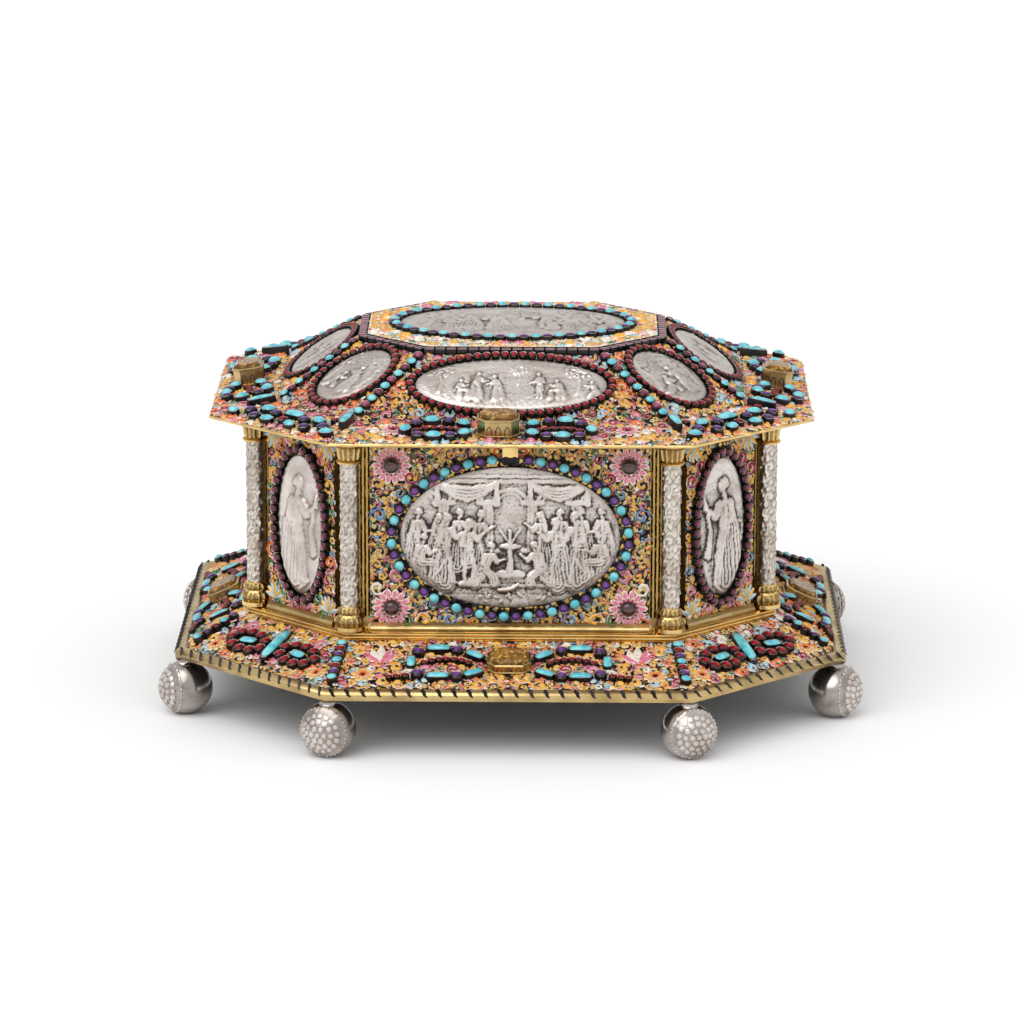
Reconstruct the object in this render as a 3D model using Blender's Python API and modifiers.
"""A silver-gilt jewel casket: an octagonal box on a spreading base with eight ball feet, eight corner
columns, seventeen oval silver reliefs and a stepped lid that lifts off. Metres, +Z up, front towards -Y,
origin on the ground under the middle of the casket."""

import math

import bmesh
import bpy
from mathutils import Matrix, Vector

MM = 0.001

# Clearances
gap = 0.3 * MM             # between pieces that touch
lid_play = 0.5 * MM        # between the lid's lip and the inside of the case
facet_slack = 0.2 * MM     # keeps a ring's underside off its neighbour's plane where they are joined

# Plan
front_half_length = 95.5 * MM    # half the distance between the front's two columns, axis to axis
end_half_length = 73.0 * MM      # and between an end's two columns
corner_run = 59.0 * MM           # what a 45 degree corner face takes of both the width and the depth
base_spread_sides = 47.5 * MM    # from the column axes out to the base's rim
base_spread_front = 68.0 * MM
base_spread_corners = 56.9 * MM
lid_overhang = 27.0 * MM         # from the column axes out to the lid's edge
lid_flange_width = 40.0 * MM     # from the lid's edge in to the foot of the slope
lid_flange_corner_width = 37.0 * MM
lid_slope_run_sides = 47.5 * MM  # level distance up each slope, from the flange to the lid's top
lid_slope_run_front = 46.0 * MM
lid_slope_run_corners = 61.1 * MM

# Heights
base_underside = 34.4 * MM
base_rim_height = 6.2 * MM
base_slope_foot = 39.6 * MM
step_foot = 54.6 * MM
step_height = 5.0 * MM
case_height = 117.2 * MM
lid_edge_height = 1.8 * MM
lid_flange_rise = 5.6 * MM
lid_slope_rise = 30.3 * MM
lid_field_rise = 3.8 * MM         # the enamelled field inside the band, above the slope's top

# Sheet and section sizes
base_sheet = 2.0 * MM
base_rim_width = 8.0 * MM
base_rim_shelf = 6.0 * MM
base_rim_shelf_height = 3.2 * MM
step_reach = 6.5 * MM            # how far the step's foot stands out past the column axes
step_slope = 3.0 * MM
case_wall = 3.0 * MM
case_floor = 2.5 * MM
panel_reach = 0.4 * MM           # how far a wall panel stands out past the column axes
panel_end = 12.5 * MM            # from a column's axis to the end of the panel beside it
recess_spare = 0.7 * MM          # room between a column's base and the wall behind it
lid_sheet = 2.0 * MM
lid_seat_reach = 10.5 * MM       # the lid's seat, outwards from the column axes
lid_lip_height = 6.0 * MM
lid_lip_thickness = 2.5 * MM

# Feet
foot_radius = 16.5 * MM
foot_flat = 0.5 * MM             # how much of the ball is worn flat where it stands
foot_inset = 6.0 * MM            # from the base's edge to the middle of a foot
foot_cap_radius = 17.1 * MM
foot_cap_angle = math.radians(58)
foot_neck_radius = 5.5 * MM
foot_steps = 10

# Columns: gilt base and capital, embossed silver shaft
column_base_radius = 9.3 * MM
column_base_height = 14.5 * MM
column_shaft_radius = 6.3 * MM
column_capital_radius = 9.2 * MM
column_capital_height = 15.0 * MM
column_steps = 8

# Reliefs and their borders
relief_edge = 1.2 * MM
relief_crown = 0.8 * MM
wall_relief_height = 2.4 * MM    # of the figures above the plate
lid_relief_height = 1.8 * MM
wall_border_width = 6.6 * MM
slope_border_width = 5.4 * MM
top_border_width = 7.2 * MM
border_height = 3.6 * MM
top_border_height = 4.2 * MM     # the top's stones stand highest
border_rise_inside = 0.6 * MM    # the settings lean in, so the inner edge stands lower
border_room = 0.6 * MM           # from a relief's edge to the border round it
wall_margin_below = 7.0 * MM      # from the border to the panel's foot, its top and its ends
wall_margin_above = 9.8 * MM
front_wall_margin = 10.3 * MM
end_wall_margin = 6.3 * MM
corner_wall_margin = 3.0 * MM
long_slope_margins = (7.5 * MM, 0.3 * MM)     # from the border to a slope's strips, and to its foot and top
end_slope_margins = (6.0 * MM, 0.3 * MM)
corner_slope_margins = (0.9 * MM, 1.8 * MM)
top_margins = (11.6 * MM, 14.2 * MM)          # from the border to the band, at its ends and in front
oval_steps = 20

# Settings of stones on the lid
band_width = 5.5 * MM
band_height = 3.6 * MM
hip_strip_half_width = 3.4 * MM
hip_strip_height = 2.8 * MM
hip_strip_end = 4.0 * MM         # how far short of the flange a strip stops
strip_tuck = 2.4 * MM            # how far a strip runs in under the band
ring_tuck = 1.0 * MM             # and a slope's ring

# The eight large cut stones in their engraved gilt boxes
lid_jewel_size = (12.5 * MM, 9.5 * MM)
lid_jewel_height = 13.0 * MM
lid_front_jewel_shift = 7.0 * MM  # the front one sits left of the lid's middle
base_jewel_size = (13.0 * MM, 10.5 * MM)
base_jewel_height = 8.0 * MM
jewel_corner = 4.5 * MM
jewel_crown = 3.0 * MM
jewel_table_inset = 2.6 * MM

# The lock's escutcheon
escutcheon_length = 11.0 * MM
escutcheon_radius = 2.8 * MM
escutcheon_thickness = 1.6 * MM
escutcheon_below_top = 12.5 * MM

# Levels that follow from the sizes above
rim_shelf_top = base_underside + base_rim_shelf_height
step_top = step_foot + step_height
case_foot = step_top + gap
case_top = case_foot + case_height
lid_seat = case_top + gap
lid_flange_foot = lid_seat + lid_edge_height
lid_break = lid_flange_foot + lid_flange_rise
lid_top = lid_break + lid_slope_rise
lid_field = lid_top + lid_field_rise
recess_depth = column_base_radius + recess_spare
around = 1 / math.cos(math.pi / oval_steps)   # what makes a ring's polygon stay outside its oval

ROOT2 = math.sqrt(2)
CORNERS = ("front_right", "right_front", "right_back", "back_right",
           "back_left", "left_back", "left_front", "front_left")
FACES = ("front", "front_right", "right", "back_right", "back", "back_left", "left", "front_left")

GILT = ("gilt", (0.80, 0.56, 0.22), 0.30, 1.0)
SILVER = ("silver", (0.74, 0.71, 0.68), 0.32, 1.0)
BLACKENED = ("blackened_silver", (0.10, 0.09, 0.09), 0.40, 0.9)
CITRINE = ("citrine", (0.62, 0.40, 0.16), 0.08, 0.0)
SETTINGS = ("stone_settings", (0.30, 0.07, 0.16), 0.25, 0.2)


def material(name, colour, roughness, metallic):
    """One Principled material, made once for each finish."""
    found = bpy.data.materials.get(name)
    if found:
        return found
    made = bpy.data.materials.new(name)
    made.use_nodes = True
    shader = made.node_tree.nodes["Principled BSDF"]
    shader.inputs["Base Color"].default_value = (*colour, 1)
    shader.inputs["Roughness"].default_value = roughness
    shader.inputs["Metallic"].default_value = metallic
    made.diffuse_color = (*colour, 1)
    return made


def new_object(name, mesh, finish, collection):
    """Puts a mesh in the scene under a node's name, with its finish."""
    made = bpy.data.objects.new(name, mesh)
    collection.objects.link(made)
    if finish:
        mesh.materials.clear()
        mesh.materials.append(material(*finish))
    return made


def mesh_from(bm, name):
    """Turns a bmesh into a mesh whose faces point out."""
    bmesh.ops.recalc_face_normals(bm, faces=bm.faces)
    mesh = bpy.data.meshes.new(name)
    bm.to_mesh(mesh)
    bm.free()
    return mesh


def loft(name, loops, closed=False):
    """A solid skinned over loops with equal numbers of points. An open row of loops is capped at both ends,
    and a closed one makes a ring."""
    bm = bmesh.new()
    rows = [[bm.verts.new(point) for point in loop] for loop in loops]
    pairs = list(zip(rows, rows[1:]))
    if closed:
        pairs.append((rows[-1], rows[0]))
    else:
        bm.faces.new(rows[0])
        bm.faces.new(rows[-1])
    for low, high in pairs:
        for i in range(len(low)):
            j = (i + 1) % len(low)
            bm.faces.new((low[i], low[j], high[j], high[i]))
    return mesh_from(bm, name)


def octagon(plan, z):
    """Eight corners of a plan (half width, half depth, half corner), counted from the front's right corner."""
    half_width, half_depth, half_corner = plan
    front = half_corner * ROOT2 - half_depth
    side = half_corner * ROOT2 - half_width
    return [Vector(p) for p in (
        (front, -half_depth, z), (half_width, -side, z), (half_width, side, z), (front, half_depth, z),
        (-front, half_depth, z), (-half_width, side, z), (-half_width, -side, z), (-front, -half_depth, z))]


def offset(plan, distance):
    """The plan with each of its eight faces moved out by a distance."""
    return tuple(size + distance for size in plan)


# A plan is half the width, half the depth, and the distance from the middle to a 45 degree face
BODY = (front_half_length + corner_run, end_half_length + corner_run,
        (front_half_length + end_half_length + corner_run) / ROOT2)
BASE = (BODY[0] + base_spread_sides, BODY[1] + base_spread_front, BODY[2] + base_spread_corners)
LID_EDGE = offset(BODY, lid_overhang)
LID_BREAK = (LID_EDGE[0] - lid_flange_width, LID_EDGE[1] - lid_flange_width,
             LID_EDGE[2] - lid_flange_corner_width)
LID_TOP = (LID_BREAK[0] - lid_slope_run_sides, LID_BREAK[1] - lid_slope_run_front,
           LID_BREAK[2] - lid_slope_run_corners)


def between(plan, other, share):
    """A plan part of the way from one plan to another."""
    return tuple(a + (b - a) * share for a, b in zip(plan, other))


def face_frame(low_loop, high_loop, index):
    """The frame of one face between two octagons: its middle, along it, up it, and out of it."""
    right, left = low_loop[index], low_loop[index - 1]
    top_right, top_left = high_loop[index], high_loop[index - 1]
    along = (right - left).normalized()
    up = ((top_right + top_left) - (right + left)).normalized()
    middle = (right + left + top_right + top_left) / 4
    return middle, along, up, along.cross(up)


def frame_matrix(middle, along, up, out):
    """A placing matrix from a face's frame."""
    turn = Matrix((along, up, out)).transposed().to_4x4()
    return Matrix.Translation(middle) @ turn


def by_face(index, long, end, corner):
    """One of three values: for the front and back, for the two ends, and for the four corner faces."""
    if index % 2:
        return corner
    return long if index in (0, 4) else end


def wall_oval(index):
    """Half the length and half the height of a wall's relief: what its panel leaves inside the border."""
    ends = octagon(BODY, 0)
    panel = (ends[index] - ends[index - 1]).length / 2 - panel_end
    around_relief = border_room + wall_border_width
    margin = by_face(index, front_wall_margin, end_wall_margin, corner_wall_margin)
    height = (case_height - wall_margin_below - wall_margin_above) / 2
    return panel - margin - around_relief, height - around_relief


def wall_frame(index):
    """The frame of a wall panel at the height of its oval."""
    panel = offset(BODY, panel_reach)
    middle, along, up, out = face_frame(octagon(panel, case_foot), octagon(panel, case_top), index)
    middle.z = case_foot + (case_height + wall_margin_below - wall_margin_above) / 2
    return frame_matrix(middle, along, up, out)


def slope_oval(index):
    """Half the length and half the height of the relief on one of the lid's slopes."""
    low, high = octagon(LID_BREAK, lid_break), octagon(LID_TOP, lid_top)
    width = ((low[index] - low[index - 1]).length + (high[index] - high[index - 1]).length) / 4
    height = (high[index] + high[index - 1] - low[index] - low[index - 1]).length / 4
    side, end = by_face(index, long_slope_margins, end_slope_margins, corner_slope_margins)
    around_relief = border_room + slope_border_width
    return width - hip_strip_half_width - side - around_relief, height - end - around_relief


def slope_frame(index):
    """The frame of one of the lid's slopes, at the middle of its oval, whose ring tucks under the band."""
    low, high = octagon(LID_BREAK, lid_break), octagon(LID_TOP, lid_top)
    _, along, up, out = face_frame(low, high, index)
    top = (high[index] + high[index - 1]) / 2
    ring_half_height = (slope_oval(index)[1] + border_room + slope_border_width) * around
    return frame_matrix(top - up * (ring_half_height - ring_tuck), along, up, out)


def top_oval():
    """Half the length and half the height of the relief on the lid's top."""
    taken = band_width + gap + border_room + top_border_width
    return LID_TOP[0] - taken - top_margins[0], LID_TOP[1] - taken - top_margins[1]


def oval_loop(length, height, z, steps=oval_steps):
    """Points round an oval, given half its length and half its height."""
    turns = [2 * math.pi * i / steps for i in range(steps)]
    return [Vector((length * math.cos(t), height * math.sin(t), z)) for t in turns]


# Base: an octagonal rim with an inner shelf, and a spreading sheet that lies on the shelf


def make_base_rim(collection):
    edge = -base_rim_width
    shelf = edge - base_rim_shelf
    top = base_underside + base_rim_height
    section = [(0, base_underside), (0, base_underside + 0.35 * base_rim_height),
               (0.25 * edge, base_underside + 0.78 * base_rim_height), (0.6 * edge, top),
               (edge, top - 0.08 * base_rim_height), (edge, rim_shelf_top), (shelf, rim_shelf_top),
               (shelf, base_underside)]
    loops = [octagon(offset(BASE, reach), z) for reach, z in section]
    new_object("base_rim", loft("base_rim", loops, closed=True), GILT, collection)


def make_base_plinth(collection):
    seat = -base_rim_width - gap
    toe = octagon(offset(BASE, seat), base_slope_foot)
    toe_under = octagon(offset(BASE, seat), rim_shelf_top + gap)
    toe_inside = octagon(offset(BASE, seat - base_rim_shelf), rim_shelf_top + gap)
    step_low = octagon(offset(BODY, step_reach), step_foot)
    step_reed = octagon(offset(BODY, step_reach - 0.3 * step_slope), step_foot + 0.45 * step_height)
    step_edge = octagon(offset(BODY, step_reach - step_slope), step_top)
    inside = offset(BODY, step_reach - 3 * base_sheet)
    under_slope = octagon(inside, step_foot - base_sheet)
    under_top = octagon(offset(BODY, step_reach - step_slope - base_sheet), step_top - base_sheet)
    loops = [step_edge, step_reed, step_low, toe, toe_under, toe_inside, under_slope, under_top]
    new_object("base_plinth", loft("base_plinth", loops), GILT, collection)


# Feet: balls with a boss of berries on the outward side


def foot_place(index):
    """The middle of a foot, and the level direction that its boss faces."""
    corner = octagon(offset(BASE, -foot_inset), 0)[index]
    faces = [Vector((math.sin(math.radians(45 * k)), -math.cos(math.radians(45 * k)), 0))
             for k in (index, index + 1)]
    out = (faces[0] + faces[1]).normalized()
    return corner + Vector((0, 0, foot_radius - foot_flat)), out


def foot_profile():
    """The ball's outline from its boss to its back, as (along the boss's axis, out from it)."""
    cap = [(foot_cap_radius, foot_cap_angle * k / 2) for k in range(3)]
    shoulder = [(foot_radius, foot_cap_angle)]
    back = [(foot_radius, math.pi / 2 * (1 + k / 3)) for k in range(4)]
    return [(radius * math.cos(a), radius * math.sin(a)) for radius, a in cap + shoulder + back]


def turned(name, profile, steps, collection):
    """A profile of (radius, height) points, turned about +Z with a Screw modifier and made a mesh.
    The outline runs down its outer side, top to bottom."""
    bm = bmesh.new()
    points = [bm.verts.new((radius, 0, z)) for radius, z in profile]
    for a, b in zip(points, points[1:]):
        bm.edges.new((a, b))
    mesh = bpy.data.meshes.new(name)
    bm.to_mesh(mesh)
    bm.free()
    made = new_object(name, mesh, None, collection)
    screw = made.modifiers.new("turn", "SCREW")
    screw.steps = screw.render_steps = steps
    screw.use_merge_vertices = True
    screw.merge_threshold = 0.02 * MM
    settle(made)
    return made


def settle(made):
    """Applies an object's modifiers, and turns its faces out."""
    bpy.context.view_layer.update()
    evaluated = made.evaluated_get(bpy.context.evaluated_depsgraph_get())
    mesh = bpy.data.meshes.new_from_object(evaluated)
    made.modifiers.clear()
    old = made.data
    made.data = mesh
    bpy.data.meshes.remove(old)
    bm = bmesh.new()
    bm.from_mesh(mesh)
    bmesh.ops.remove_doubles(bm, verts=bm.verts, dist=0.01 * MM)
    bmesh.ops.recalc_face_normals(bm, faces=bm.faces)
    bm.to_mesh(mesh)
    bm.free()


def unite(made, others):
    """Joins other objects to one by Boolean union, and removes them."""
    for other in others:
        union = made.modifiers.new("join", "BOOLEAN")
        union.operation = "UNION"
        union.object = other
        settle(made)
        bpy.data.objects.remove(other)


def make_foot(index, collection):
    name = "foot_" + CORNERS[index]
    middle, out = foot_place(index)
    profile = [(max(radius, 0), along) for along, radius in foot_profile()]
    ball = turned(name, profile, foot_steps, collection)
    down = Vector((0, 0, -1))
    ball.data.transform(Matrix((down, out.cross(down), out)).transposed().to_4x4())
    neck_top = base_underside - gap
    neck_low = middle.z + foot_radius * 0.6
    bm = bmesh.new()
    bmesh.ops.create_cone(bm, cap_ends=True, segments=foot_steps, radius1=foot_neck_radius * 1.3,
                          radius2=foot_neck_radius, depth=neck_top - neck_low)
    neck = new_object("neck", mesh_from(bm, "neck"), None, collection)
    neck.data.transform(Matrix.Translation((0, 0, (neck_top + neck_low) / 2 - middle.z)))
    unite(ball, [neck])
    bm = bmesh.new()
    bm.from_mesh(ball.data)
    geometry = list(bm.verts) + list(bm.edges) + list(bm.faces)
    cut = bmesh.ops.bisect_plane(bm, geom=geometry, plane_co=(0, 0, foot_flat - foot_radius),
                                 plane_no=(0, 0, -1), clear_outer=True)
    edges = [e for e in cut["geom_cut"] if isinstance(e, bmesh.types.BMEdge)]
    bmesh.ops.holes_fill(bm, edges=edges)
    bmesh.ops.recalc_face_normals(bm, faces=bm.faces)
    bm.to_mesh(ball.data)
    bm.free()
    ball.data.materials.clear()
    ball.data.materials.append(material(*SILVER))
    ball.location = middle


# Case: a folded eight-sided box whose corners are set back behind the columns


def case_outline(reach, recess, end, z):
    """The case's outline: each wall panel at one reach, set back at its ends to the recess's corner."""
    panel = octagon(offset(BODY, reach), z)
    axes = octagon(BODY, z)
    core = octagon(offset(BODY, -recess), z)
    points = []
    for i in range(8):
        along = (axes[i] - axes[i - 1]).normalized()
        out = along.cross(Vector((0, 0, 1)))
        for corner, side in ((axes[i - 1], 1), (axes[i], -1)):
            shoulder = corner + along * side * end
            ends = [shoulder - out * recess, shoulder + out * reach]
            points += ends if side > 0 else ends[::-1]
        points.append(core[i])
    return points


def make_case(collection):
    outer = (panel_reach, recess_depth, panel_end)
    inner = (panel_reach - case_wall, recess_depth + case_wall, panel_end + case_wall)
    loops = [case_outline(*outer, case_foot), case_outline(*outer, case_top),
             case_outline(*inner, case_top), case_outline(*inner, case_foot + case_floor)]
    new_object("body_case", loft("body_case", loops), GILT, collection)


def make_column(index, collection):
    name = "column_" + CORNERS[index]
    height = case_top - case_foot
    base, cap = column_base_height, column_capital_height
    shaft = column_shaft_radius
    profile = [(0, height), (column_capital_radius, height),
               (column_capital_radius, height - 0.25 * cap), (0.86 * column_capital_radius, height - 0.5 * cap),
               (1.12 * shaft, height - 0.8 * cap), (1.2 * shaft, height - 0.9 * cap), (shaft, height - cap),
               (shaft, base), (1.28 * shaft, 0.88 * base), (1.12 * shaft, 0.7 * base),
               (0.95 * column_base_radius, 0.5 * base), (column_base_radius, 0.25 * base),
               (0.9 * column_base_radius, 0), (0, 0)]
    column = turned(name, profile, column_steps, collection)
    column.data.materials.append(material(*SILVER))
    corner = octagon(BODY, case_foot)[index]
    column.location = corner


# Lid: a thin flange, a steep slope and a flat top, open below, with a seat and a lip inside


def make_lid(collection):
    low = lid_seat
    slope_in = lid_sheet * 1.4
    flange_share = (lid_overhang - lid_seat_reach) / lid_flange_width
    flange_under = lid_flange_foot + lid_flange_rise * flange_share - lid_sheet
    lip_out = offset(BODY, -recess_depth - case_wall - lid_play)
    lip_in = offset(lip_out, -lid_lip_thickness)
    break_in = tuple(min(a, b) for a, b in zip(offset(LID_BREAK, -slope_in), lip_in))
    field = offset(LID_TOP, -band_width - gap)
    field_in = offset(field, -lid_sheet)
    loops = [octagon(field, lid_field), octagon(field, lid_top),
             octagon(LID_TOP, lid_top), octagon(LID_BREAK, lid_break),
             octagon(LID_EDGE, lid_flange_foot), octagon(LID_EDGE, low),
             octagon(between(LID_EDGE, LID_BREAK, 0.05), low + 0.05 * lid_flange_rise),
             octagon(offset(BODY, lid_seat_reach), flange_under),
             octagon(offset(BODY, lid_seat_reach), low),
             octagon(lip_out, low), octagon(lip_out, low - lid_lip_height),
             octagon(lip_in, low - lid_lip_height), octagon(break_in, lid_break - lid_sheet),
             octagon(offset(LID_TOP, -0.5 * slope_in), lid_top - lid_sheet),
             octagon(field_in, lid_top - lid_sheet), octagon(field_in, lid_field - lid_sheet)]
    new_object("lid", loft("lid", loops), GILT, collection)


# Reliefs: oval silver plates with raised figures, kept as named groups of rounded forms


def standing(x, foot, height, stout=1.0):
    """A standing figure as rounded forms (x, y, half width, half height, relief): gown, body and head."""
    return [(x, foot + 0.27 * height, 0.17 * height * stout, 0.30 * height, 0.8),
            (x, foot + 0.62 * height, 0.14 * height * stout, 0.22 * height, 1.0),
            (x, foot + 0.91 * height, 0.08 * height, 0.09 * height, 1.0)]


def feast(length, height):
    """A feast in an open hall: a fountain in the middle, and guests standing and sitting on both sides."""
    forms = [(0, -0.52 * height, 0.15 * length, 0.10 * height, 0.6),
             (0, -0.30 * height, 0.04 * length, 0.25 * height, 0.6),
             (0, -0.12 * height, 0.10 * length, 0.06 * height, 0.7)]
    for share, foot, tall in ((0.20, -0.66, 0.62), (0.40, -0.65, 0.95), (0.59, -0.63, 1.0), (0.79, -0.59, 0.66)):
        for side in (-1, 1):
            forms += standing(side * share * length, foot * height, tall * height)
    return forms


def single_figure(length, height):
    """One standing figure with a bent arm, nearly as tall as its oval."""
    forms = standing(0, -0.72 * height, 1.45 * height, 0.75)
    forms.append((0.18 * length, 0.28 * height, 0.32 * length, 0.09 * height, 1.0))
    return forms


def landscape(length, height):
    """Low hills, two trees and people who rest and walk between them."""
    forms = [(-0.35 * length, -0.55 * height, 0.5 * length, 0.25 * height, 0.4),
             (0.5 * length, -0.5 * height, 0.4 * length, 0.3 * height, 0.4),
             (-0.74 * length, 0.45 * height, 0.20 * length, 0.30 * height, 0.6),
             (0.70 * length, 0.45 * height, 0.20 * length, 0.30 * height, 0.6)]
    for share in (-0.40, -0.02, 0.34):
        forms += standing(share * length, -0.6 * height, 0.95 * height)
    return forms


def relief_mesh(name, length, height, forms, relief_height, columns, rows):
    """An oval plate whose face is a grid bent to the oval, raised by its rounded forms."""
    def rise(x, y):
        edge = max(0.0, 1 - (x / length) ** 2 - (y / height) ** 2)
        figures = [relief * math.sqrt(d) for fx, fy, w, h, relief in forms
                   if (d := 1 - ((x - fx) / w) ** 2 - ((y - fy) / h) ** 2) > 0]
        raised = relief_height * max(figures, default=0.0) * min(1.0, 6 * edge)
        return relief_edge + relief_crown * min(1.0, 2 * edge) + raised

    bm = bmesh.new()
    grid = []
    for j in range(rows + 1):
        v = 2 * j / rows - 1
        row = []
        for i in range(columns + 1):
            u = 2 * i / columns - 1
            x = length * u * math.sqrt(1 - v * v / 2)
            y = height * v * math.sqrt(1 - u * u / 2)
            row.append(bm.verts.new((x, y, rise(x, y))))
        grid.append(row)
    for j in range(rows):
        for i in range(columns):
            bm.faces.new((grid[j][i], grid[j][i + 1], grid[j + 1][i + 1], grid[j + 1][i]))
    rim = [*grid[0], *[row[-1] for row in grid[1:]], *grid[-1][-2::-1], *[row[0] for row in grid[-2:0:-1]]]
    foot = [bm.verts.new((v.co.x, v.co.y, 0)) for v in rim]
    for i in range(len(rim)):
        j = (i + 1) % len(rim)
        bm.faces.new((rim[i], foot[i], foot[j], rim[j]))
    bm.faces.new(foot)
    return mesh_from(bm, name)


def border_loops(length, height, width, tall=border_height):
    """An oval ring of settings round a relief, whose top leans in to it."""
    inner = border_room
    outer = border_room + width
    section = [(inner, 0), (outer, 0), (outer, tall), (inner, tall - border_rise_inside)]
    return [oval_loop((length + reach) * around, (height + reach) * around, z) for reach, z in section]


def make_wall_ovals(collection):
    for index, face in enumerate(FACES):
        oval = wall_oval(index)
        forms = by_face(index, feast, feast, single_figure)(*oval)
        grid = by_face(index, (16, 10), (11, 9), (5, 10))
        mesh = relief_mesh("wall_relief_" + face, *oval, forms, wall_relief_height, *grid)
        relief = new_object("wall_relief_" + face, mesh, SILVER, collection)
        border = loft("wall_border_" + face, border_loops(*oval, wall_border_width), closed=True)
        ring = new_object("wall_border_" + face, border, BLACKENED, collection)
        for piece in (relief, ring):
            piece.matrix_world = wall_frame(index) @ Matrix.Translation((0, 0, gap))


def make_lid_reliefs(collection):
    for index, face in enumerate(FACES):
        oval = slope_oval(index)
        grid = by_face(index, (10, 6), (9, 6), (5, 7))
        mesh = relief_mesh("lid_relief_" + face, *oval, landscape(*oval), lid_relief_height, *grid)
        relief = new_object("lid_relief_" + face, mesh, SILVER, collection)
        relief.matrix_world = slope_frame(index) @ Matrix.Translation((0, 0, gap))
    oval = top_oval()
    mesh = relief_mesh("lid_relief_top", *oval, landscape(*oval), lid_relief_height, 14, 9)
    relief = new_object("lid_relief_top", mesh, SILVER, collection)
    relief.location.z = lid_field + gap
    loops = border_loops(*oval, top_border_width, top_border_height)
    border = loft("lid_border_top", loops, closed=True)
    ring = new_object("lid_border_top", border, BLACKENED, collection)
    ring.location.z = lid_field + gap


# The lid's network of settings: a band round the top, strips down the hips and a ring round each oval


def band_mesh():
    inner = offset(LID_TOP, -band_width)
    low, high = lid_top + gap, lid_top + gap + band_height
    loops = [octagon(LID_TOP, low), octagon(LID_TOP, high), octagon(inner, high), octagon(inner, low)]
    return loft("band", loops, closed=True)


def hip_strip_mesh(index):
    """A strip astride the hip between two of the lid's slopes, from the band down towards the flange."""
    high = octagon(LID_TOP, lid_top)[index]
    low = octagon(LID_BREAK, lid_break)[index]
    down = (low - high).normalized()
    sides = []
    for face in (index, (index + 1) % 8):
        frame = slope_frame(face)
        out = frame.to_3x3() @ Vector((0, 0, 1))
        across = out.cross(down)
        if across.dot(frame.translation - high) < 0:
            across = -across
        sides.append((across, out))
    crest = (sides[0][1] + sides[1][1]).normalized()
    lift = gap + facet_slack
    section = [sides[0][0] * hip_strip_half_width + sides[0][1] * lift, crest * lift,
               sides[1][0] * hip_strip_half_width + sides[1][1] * lift,
               sides[1][0] * hip_strip_half_width + sides[1][1] * hip_strip_height,
               crest * (hip_strip_height + lift),
               sides[0][0] * hip_strip_half_width + sides[0][1] * hip_strip_height]
    start = high - down * strip_tuck
    end = low - down * hip_strip_end
    return loft("hip", [[start + p for p in section], [end + p for p in section]])


def make_lid_settings(collection):
    network = new_object("lid_gem_settings", band_mesh(), SETTINGS, collection)
    others = []
    for index in range(8):
        others.append(new_object("hip", hip_strip_mesh(index), None, collection))
        ring = loft("ring", border_loops(*slope_oval(index), slope_border_width), closed=True)
        made = new_object("ring", ring, None, collection)
        made.data.transform(slope_frame(index) @ Matrix.Translation((0, 0, gap)))
        others.append(made)
    unite(network, others)


# Large cut stones in engraved gilt boxes, on the lid's flange and on the slopes of the base


def jewel_loop(size, inset, z):
    """An oblong with cut corners."""
    x, y = size[0] - inset, size[1] - inset
    cut = jewel_corner
    corners = [(x - cut, -y), (x, cut - y), (x, y - cut), (x - cut, y),
               (cut - x, y), (-x, y - cut), (-x, cut - y), (cut - x, -y)]
    return [Vector((*point, z)) for point in corners]


def make_jewels(collection):
    places = (("lid_jewel_", LID_EDGE, lid_flange_foot, LID_BREAK, lid_break, lid_jewel_size, lid_jewel_height),
              ("base_jewel_", offset(BASE, -base_rim_width), base_slope_foot, offset(BODY, step_reach), step_foot,
               base_jewel_size, base_jewel_height))
    for prefix, low, low_z, high, high_z, size, height in places:
        for index in (0, 2, 4, 6):
            frame = frame_matrix(*face_frame(octagon(low, low_z), octagon(high, high_z), index))
            loops = [jewel_loop(size, 0, 0), jewel_loop(size, 0, height - jewel_crown),
                     jewel_loop(size, jewel_table_inset, height)]
            name = prefix + FACES[index]
            jewel = new_object(name, loft(name, loops), CITRINE, collection)
            shift = lid_front_jewel_shift if name == "lid_jewel_front" else 0
            jewel.matrix_world = frame @ Matrix.Translation((-shift, 0, gap))


def make_escutcheon(collection):
    """The lock's small dark plate, two lobes joined by a bar, at the top of the front panel."""
    name = "key_escutcheon"
    waist = 0.55 * escutcheon_radius
    reach = escutcheon_length / 2 - escutcheon_radius
    lobe = [math.radians(a) for a in range(-144, 145, 36)]
    right = [(reach + escutcheon_radius * math.cos(a), escutcheon_radius * math.sin(a)) for a in lobe]
    outline = [(x, y) for x, y in right] + [(0, waist)] + [(-x, -y) for x, y in right] + [(0, -waist)]
    loops = [[Vector((x, y, z)) for x, y in outline] for z in (0, escutcheon_thickness)]
    plate = new_object(name, loft(name, loops), BLACKENED, collection)
    frame = wall_frame(0)
    frame.translation.z = case_top - escutcheon_below_top
    lift = gap + border_height
    plate.matrix_world = frame @ Matrix.Translation((0, 0, lift + gap))


def main():
    for old in list(bpy.data.objects):
        bpy.data.objects.remove(old)
    casket = bpy.data.collections.new("silver_gilt_casket")
    bpy.context.scene.collection.children.link(casket)
    make_base_rim(casket)
    make_base_plinth(casket)
    make_case(casket)
    make_lid(casket)
    make_wall_ovals(casket)
    make_lid_reliefs(casket)
    make_lid_settings(casket)
    make_jewels(casket)
    make_escutcheon(casket)
    for index in range(8):
        make_foot(index, casket)
        make_column(index, casket)


main()
